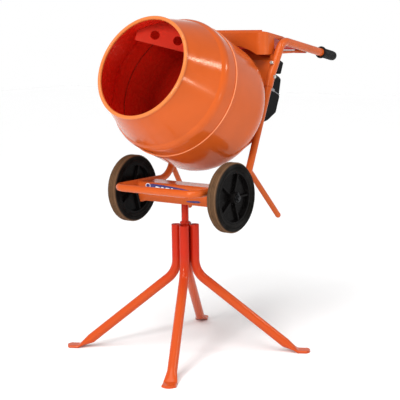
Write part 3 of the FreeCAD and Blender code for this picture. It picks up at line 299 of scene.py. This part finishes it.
def plated(name, colour, rough_low, rough_high, grain=(1, 1, 1), dull=0.8, depth=0.00004):
    """Bare or plated metal: brushed or crystalline grain, with darker stains."""
    make = Shader(name)
    brushed = make.noise(300.0, 3.0, grain)
    stain = make.noise(22.0, 5.0)
    soft = make.rounded(0.0006)
    body = make.mix(make.spread(stain, 0.4, 0.75), colour, shade(colour, dull))
    body = make.mix(make.maths("MULTIPLY", make.edges(soft), 0.5), body, shade(colour, 1.25))
    rough = make.spread(brushed, 0.3, 0.7, rough_low, rough_high)
    return make.finish(body, rough, make.bump(brushed, depth, 0.8, soft), metallic=0.95)


def moulded(name, colour, roughness, grain_scale=900.0, depth=0.00008, ior=1.45):
    """Moulded plastic: fine leathery grain, scuffed edges, and light dust."""
    make = Shader(name)
    grain = make.noise(grain_scale, 2.0)
    cloud = make.noise(12.0, 4.0)
    soft = make.rounded(0.001)
    body = make.mix(make.spread(cloud, 0.35, 0.7), colour, shade(colour, 1.35))
    scuff = make.maths("MULTIPLY", make.edges(soft), make.spread(make.noise(90.0, 3.0), 0.4, 0.6))
    body = make.mix(make.maths("MULTIPLY", scuff, 0.5), body, lifted(colour, 0.025))
    dust = make.spread(make.noise(45.0, 6.0), 0.52, 0.75)
    body = make.mix(make.maths("MULTIPLY", dust, 0.012), body, PLASTIC_DUST)
    rough = make.spread(grain, 0.3, 0.7, roughness - 0.08, roughness + 0.08)
    return make.finish(body, rough, make.bump(grain, depth, 0.8, soft), specular=0.4, ior=ior)


def rubber(name, colour, roughness=0.62):
    """Moulded rubber: dull, with fine pits and a grey bloom."""
    make = Shader(name)
    pits = make.noise(700.0, 3.0)
    bloom = make.spread(make.noise(18.0, 5.0), 0.45, 0.75)
    soft = make.rounded(0.0008)
    body = make.mix(make.maths("MULTIPLY", bloom, 0.5), colour, lifted(colour, 0.010))
    rough = make.spread(pits, 0.3, 0.7, roughness - 0.1, roughness + 0.1)
    return make.finish(body, rough, make.bump(pits, 0.00012, 0.9, soft), specular=0.15)


def tyre(side):
    """Solid tyre: black side walls, and a dusty tread with fine ribs run round it, with painted shade in the
    grooves between the ribs.
    """
    make = Shader(f"tyre_rubber_{side}")
    distance, _, _ = make.radial(f"wheel_{side}_spin")
    soft = make.rounded(0.0010)
    patch = make.noise(30.0, 6.0)
    on_tread = make.spread(distance, TREAD_FROM - 0.004, TREAD_FROM + 0.001)
    dusty = make.maths("MULTIPLY", on_tread, make.spread(patch, 0.25, 0.6, 0.55, 1.0))
    cloud = make.spread(make.noise(12.0, 5.0), 0.4, 0.75)
    wall = make.mix(cloud, TYRE_BLACK, lifted(TYRE_BLACK, 0.012))
    body = make.mix(dusty, wall, make.mix(patch, TREAD_DUST, shade(TREAD_DUST, 0.6)))
    ribs = make.maths("SINE", make.maths("MULTIPLY", make.part_of(make.where, "X"), TURN / RIB_PITCH))
    # painted shade in the grooves between the tread's ribs
    groove_shade = make.maths("MULTIPLY", make.spread(ribs, -0.3, -0.9), on_tread)
    body = make.mix(make.maths("MULTIPLY", groove_shade, 0.65), body, shade(TREAD_DUST, 0.30))
    circles = make.maths("SINE", make.maths("MULTIPLY", distance, TURN / WALL_PITCH))
    fine = make.bump(make.maths("MULTIPLY", ribs, on_tread), 0.0010, 0.6, soft)
    off_tread = make.maths("SUBTRACT", 1.0, on_tread)
    fine = make.bump(make.maths("MULTIPLY", circles, off_tread), 0.00018, 0.4, fine)
    fine = make.bump(make.noise(500.0, 3.0), 0.00015, 0.8, fine)
    rough = make.spread(patch, 0.3, 0.7, 0.52, 0.72)
    return make.finish(body, rough, fine, specular=0.3, ior=1.14)


# ---- finishes -------------------------------------------------------------------------

FINISHES = {
    "orange_paint": paint("orange_paint", ORANGE),
    "stand_paint": paint("stand_paint", STAND_SHADED_RED, 0.14, 0.20, low_colour=STAND_ORANGE),
    "drum_paint": paint("drum_paint", ORANGE, 0.15, inside=INTERIOR),
    "paddle_paint": paint("paddle_paint", PADDLE_RED, 0.30),
    "zinc": plated("zinc", (0.66, 0.66, 0.62), 0.22, 0.42),
    "steel": plated("steel", (0.46, 0.46, 0.47), 0.25, 0.45, (1, 1, 30)),
    "bearing_steel": plated("bearing_steel", (0.70, 0.70, 0.72), 0.08, 0.18),
    "cast_alloy": plated("cast_alloy", (0.48, 0.49, 0.50), 0.40, 0.62, depth=0.0003),
    "gear_steel": plated("gear_steel", (0.30, 0.29, 0.28), 0.20, 0.40, dull=0.6),
    "motor_paint": moulded("motor_paint", (0.020, 0.020, 0.022), 0.38, 500.0),
    "guard_plastic": moulded("guard_plastic", (0.004, 0.004, 0.0045), 0.16, 1100.0, 0.00003, 1.13),
    "hub_plastic": moulded("hub_plastic", (0.0035, 0.003, 0.003), 0.24, ior=1.13),
    "clip_plastic": moulded("clip_plastic", (0.20, 0.20, 0.21), 0.45),
    "grip_rubber": rubber("grip_rubber", (0.005, 0.005, 0.005), 0.5),
    "belt_rubber": rubber("belt_rubber", (0.020, 0.020, 0.020)),
    "green_plastic": moulded("green_plastic", (0.02, 0.30, 0.05), 0.26, 1200.0, 0.00003),
    "red_plastic": moulded("red_plastic", (0.55, 0.015, 0.01), 0.26, 1200.0, 0.00003),
}
TYRES = {side: tyre(side) for side in ("left", "right")}
# the hood's paint, with painted shadow on the faces inside it
HOOD_PAINT = paint("hood_paint", ORANGE, hidden=HOOD_SHADOW_RED)
BLACKENED = plated("blackened_zinc", (0.030, 0.030, 0.032), 0.30, 0.50)

# nodes whose look differs from the finish of their slot
OWN_LOOK = {"wheel_tyre_left": TYRES["left"], "wheel_tyre_right": TYRES["right"], "hood": HOOD_PAINT,
            "axle": BLACKENED, "washers_and_split_pins": BLACKENED}

for name, part in NODES.items():
    for place in part.material_slots:
        place.material = OWN_LOOK.get(name) or FINISHES[SLOT_OF[name]]


# ---- pieces ---------------------------------------------------------------------------

def piece(name, vertices, faces, material, body, smooth=True):
    """One named mesh that moves with a body."""
    mesh = bpy.data.meshes.new(name)
    mesh.from_pydata([tuple(vertex) for vertex in vertices], [], faces)
    mesh.update()
    made = bpy.data.objects.new(name, mesh)
    bpy.context.scene.collection.objects.link(made)
    mesh.materials.append(material)
    for face in mesh.polygons:
        face.use_smooth = smooth
    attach(made, body)
    return made


def tube(points, radii, closed=False, sides=10):
    """Rings of a round bar about a path: its vertices and its faces."""
    count = len(points)
    vertices = []
    for index, point in enumerate(points):
        before = points[(index - 1) % count] if closed or index else point
        after = points[(index + 1) % count] if closed or index < count - 1 else point
        ahead = (after - before).normalized()
        aside = Vector((0.31, 0.57, 0.76)) if abs(ahead.z) < 0.9 else X_WAY
        first = ahead.cross(aside).normalized()
        second = ahead.cross(first)
        for step in range(sides):
            turn = TURN * step / sides
            vertices.append(point + (first * math.cos(turn) + second * math.sin(turn)) * radii[index])
    faces = []
    for index in range(count if closed else count - 1):
        low, high = index * sides, (index + 1) % count * sides
        faces += [(low + step, low + (step + 1) % sides, high + (step + 1) % sides, high + step)
                  for step in range(sides)]
    if not closed:
        faces += [tuple(range(sides))[::-1], tuple(range((count - 1) * sides, count * sides))]
    return vertices, faces


def weld(name, runs, radius, body, slot="orange_paint", pitch=0.0026):
    """Painted weld beads along one or more paths, with the overlapping ripples a weld leaves."""
    spacing = 0.0009
    vertices, faces = [], []
    for path in runs:
        lengths = [0.0]
        for first, second in zip(path, path[1:]):
            lengths.append(lengths[-1] + (second - first).length)
        count = max(8, int(lengths[-1] / spacing))
        points, radii = [], []
        for step in range(count + 1):
            distance = lengths[-1] * step / count
            index = max(i for i in range(len(path) - 1) if lengths[i] <= distance + 1e-9)
            share = (distance - lengths[index]) / max(1e-9, lengths[index + 1] - lengths[index])
            points.append(path[index].lerp(path[index + 1], min(1.0, share)))
            ripple = 0.80 + 0.20 * abs(math.sin(math.pi * distance / pitch))
            radii.append(radius * ripple * (0.6 if step in (0, count) else 1.0))
        run_vertices, run_faces = tube(points, radii)
        faces += [tuple(corner + len(vertices) for corner in face) for face in run_faces]
        vertices += run_vertices
    return piece(name, vertices, faces, FINISHES[slot], body)


def circle(centre, radius, first, second, start=0.0, end=TURN, steps=48):
    """Points along a circle or an arc, in the plane of two directions."""
    turns = [start + (end - start) * step / steps for step in range(steps + 1)]
    return [centre + (first * math.cos(turn) + second * math.sin(turn)) * radius for turn in turns]


def in_head(x, y, z):
    """A point of the tilted head: across it, up its plate, and ahead along the drum's axis."""
    return HEAD + X_WAY * x + HEAD_UP * y + HEAD_AHEAD * z


# the raised lip of the drum's seam, painted a lighter orange as a painted highlight
LIP_RADIUS = 0.0026
seam_ring = circle(in_head(0, 0, MOUTH_REACH - SEAM_OUTSIDE), SEAM_RADIUS, X_WAY, HEAD_UP, steps=144)[:-1]
ring_vertices, ring_faces = tube(seam_ring, [LIP_RADIUS] * len(seam_ring), closed=True)
piece("drum_seam_lip", ring_vertices, ring_faces, paint("seam_highlight_paint", SEAM_HIGHLIGHT_ORANGE), "drum")

# welds: the swivel's post, the channel on the rails, and the mounting plate between the side tubes
POST_BEAD, FRAME_BEAD = 0.0032, 0.0030
POST_WELD_RADIUS = 0.0168
RAIL_GAP = 0.0008
RAIL_ARC = (-0.45 * math.pi, 0.2 * math.pi)
PLATE_STARTS = (-0.115, -0.035, 0.045, 0.125)
PLATE_RUN, PLATE_BEHIND = 0.030, -0.006

post_centre = Vector((0, 0, POST_TOP - 0.001))
weld("post_weld", [circle(post_centre, POST_WELD_RADIUS, X_WAY, Y_WAY)], POST_BEAD, "swivel", "stand_paint")
rail_welds = []
plate_welds = []
for side in (-1, 1):
    centre = Vector((side * TRACK_HALF, CHANNEL_FRONT, RAIL_HEIGHT))
    rail_welds.append(circle(centre, TUBE_RADIUS + RAIL_GAP, X_WAY * -side, Z_WAY, *RAIL_ARC))
    plate_welds += [[in_head(side * RAIL_INNER, low, PLATE_BEHIND),
                     in_head(side * RAIL_INNER, low + PLATE_RUN, PLATE_BEHIND)]
                    for low in PLATE_STARTS]
weld("rail_welds", rail_welds, FRAME_BEAD, "machine")
weld("plate_welds", plate_welds, FRAME_BEAD, "machine")


# the thin strips along the joint of the belt guard's two halves
GUARD_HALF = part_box("belt_guard_upper")[1].x
GUARD_SEAM = 0.180
STRIP_START, STRIP_LENGTH, STRIP_STEPS, STRIP_RADIUS = 0.098, 0.084, 12, 0.0018
for side, side_name in ((-1, "left"), (1, "right")):
    strip = [in_head(side * GUARD_HALF, GUARD_SEAM, -STRIP_START - STRIP_LENGTH * step / STRIP_STEPS)
             for step in range(STRIP_STEPS + 1)]
    strip_vertices, strip_faces = tube(strip, [STRIP_RADIUS] * len(strip))
    piece(f"guard_seam_strip_{side_name}", strip_vertices, strip_faces, FINISHES["clip_plastic"], "machine")


# a plain printed sticker on the channel, half hidden behind the front bar
def sticker(name, outline, lift, material):
    """A flat printed shape on the channel's front face, from corners given as (across, height)."""
    face_y = CHANNEL_FRONT - lift
    front = [Vector((across, face_y, height)) for across, height in outline]
    back = [corner + Vector((0, lift * 0.8, 0)) for corner in front]
    count = len(outline)
    faces = [tuple(range(count)), tuple(range(2 * count - 1, count - 1, -1))]
    faces += [(step, step + count, (step + 1) % count + count, (step + 1) % count)
              for step in range(count)]
    return piece(name, front + back, faces, material, "machine", smooth=False)


def leaf(left, right, top, thick, lean, widest=0.22, steps=24):
    """A long pointed shape: blunt at its left end and drawn out to a point at its right end."""
    upper, lower = [], []
    for step in range(steps + 1):
        share = step / steps
        across = left + (right - left) * share
        away = (share - widest) / (widest if share < widest else 1 - widest)
        half = thick / 2 * math.sqrt(max(0.0, 1 - away ** 2))
        middle = top - thick / 2 + lean * share
        upper.append((across, middle + half))
        lower.append((across, middle - half))
    return upper + lower[-2:0:-1]


def oval(wide, high, steps=32):
    """An oval round the sticker's emblem."""
    across, height = EMBLEM
    return [(across + wide * math.cos(TURN * step / steps), height + high * math.sin(TURN * step / steps))
            for step in range(steps)]


def film(name, colour):
    """Printed plastic film with a faint ripple."""
    make = Shader(name)
    tone = make.mix(make.spread(make.noise(40.0, 4.0), 0.35, 0.7), colour, shade(colour, 0.8))
    rough = make.spread(make.noise(220.0, 3.0), 0.3, 0.7, 0.22, 0.34)
    return make.finish(tone, rough, make.bump(make.noise(90.0, 2.0), 0.00008, 0.4), coat=0.3)


EMBLEM = (-0.147, 0.740)
GROUND, PRINT, TOP = 0.0004, 0.0007, 0.0010
BARS = ((-0.106, 0.026), (-0.074, 0.018), (-0.050, 0.026), (-0.018, 0.014))
BAR_DROP = 0.0006
BLUE_FILM = film("decal_blue", (0.020, 0.012, 0.130))
PALE_FILM = film("decal_pale", (0.78, 0.76, 0.80))
sticker("decal_swoosh", leaf(-0.160, 0.100, 0.7515, 0.026, -0.010), GROUND, BLUE_FILM)
sticker("decal_tail", leaf(0.140, 0.062, 0.6935, 0.009, -0.003)[::-1], GROUND, BLUE_FILM)
sticker("decal_ring", oval(0.0135, 0.0105), PRINT, PALE_FILM)
sticker("decal_core", oval(0.0105, 0.0078), TOP, BLUE_FILM)
for index, (left, wide) in enumerate(BARS):
    bar = leaf(left, left + wide, EMBLEM[1] - index * BAR_DROP, 0.0105, -0.001)
    sticker(f"decal_bar_{index + 1}", bar, PRINT, PALE_FILM)


# ---- stage, light and camera ----------------------------------------------------------

FLOOR_HALF = 15.0
floor_mesh = bpy.data.meshes.new("floor")
floor_corners = [(x * FLOOR_HALF, y * FLOOR_HALF, 0) for x, y in ((-1, -1), (1, -1), (1, 1), (-1, 1))]
floor_mesh.from_pydata(floor_corners, [], [(0, 1, 2, 3)])
floor = bpy.data.objects.new("floor", floor_mesh)
bpy.context.scene.collection.objects.link(floor)
pale = Shader("floor_white")
white = pale.mix(pale.noise(3.0), (0.95, 0.95, 0.95), (0.97, 0.97, 0.97))
floor_mesh.materials.append(pale.finish(white, 0.8, specular=0.2))

# a white studio, brightest at the horizon
world = bpy.data.worlds.new("studio")
world.use_nodes = True
sky = world.node_tree
direction = sky.nodes.new("ShaderNodeTexCoord").outputs["Generated"]
height = sky.nodes.new("ShaderNodeSeparateXYZ")
fade = sky.nodes.new("ShaderNodeMapRange")
fade.interpolation_type = "SMOOTHSTEP"
sky.links.new(direction, height.inputs[0])
sky.links.new(height.outputs["Z"], fade.inputs["Value"])
for name, value in (("From Min", 0.10), ("From Max", 0.45), ("To Min", 1.0), ("To Max", 0.42)):
    fade.inputs[name].default_value = value
sky.nodes["Background"].inputs["Color"].default_value = (1, 1, 1, 1)
sky.links.new(fade.outputs["Result"], sky.nodes["Background"].inputs["Strength"])
bpy.context.scene.world = world
bpy.context.scene.view_settings.view_transform = "Standard"

AIM = Vector((0.0, 0.0, 1.1))


def lamp(name, kind, place, power, **settings):
    """A light that points at the middle of the machine."""
    light = bpy.data.lights.new(name, kind)
    light.energy = power
    for word, value in settings.items():
        setattr(light, word, value)
    made = bpy.data.objects.new(name, light)
    made.location = place
    made.rotation_euler = (AIM - Vector(place)).to_track_quat("-Z", "Y").to_euler()
    bpy.context.scene.collection.objects.link(made)


lamp("sun", "SUN", (0.6, -2.2, 5.4), 2.1, angle=math.radians(45))
lamp("mouth_fill", "AREA", (0.7, -3.5, 2.3), 76, shape="RECTANGLE", size=0.9, size_y=0.7)
lamp("strip", "AREA", (2.5, 1.45, 2.75), 17, shape="RECTANGLE", size=0.80, size_y=0.22)
lamp("low_strip", "AREA", (3.2, 0.05, 1.05), 5.0, shape="RECTANGLE", size=0.28, size_y=0.26)

# the photograph's camera
CAMERA_PLACE = Vector((2.9468, -3.8206, 1.4589))
CAMERA_YAW, CAMERA_PITCH, CAMERA_ROLL = (math.radians(turn) for turn in (36.85, -9.21, -0.86))
CAMERA_LENS = 100.2
ahead = Vector((-math.sin(CAMERA_YAW) * math.cos(CAMERA_PITCH),
                math.cos(CAMERA_YAW) * math.cos(CAMERA_PITCH), math.sin(CAMERA_PITCH)))
level = Vector((math.cos(CAMERA_YAW), math.sin(CAMERA_YAW), 0))
rise = level.cross(ahead)
sideways = level * math.cos(CAMERA_ROLL) + rise * math.sin(CAMERA_ROLL)
upward = rise * math.cos(CAMERA_ROLL) - level * math.sin(CAMERA_ROLL)
lens = bpy.data.cameras.new("camera")
lens.lens = CAMERA_LENS
lens.sensor_width = 36.0
lens.clip_end = 60.0
camera = bpy.data.objects.new("camera", lens)
turned = Matrix((sideways, upward, -ahead)).transposed().to_4x4()
camera.matrix_world = Matrix.Translation(CAMERA_PLACE) @ turned
bpy.context.scene.collection.objects.link(camera)
bpy.context.scene.camera = camera
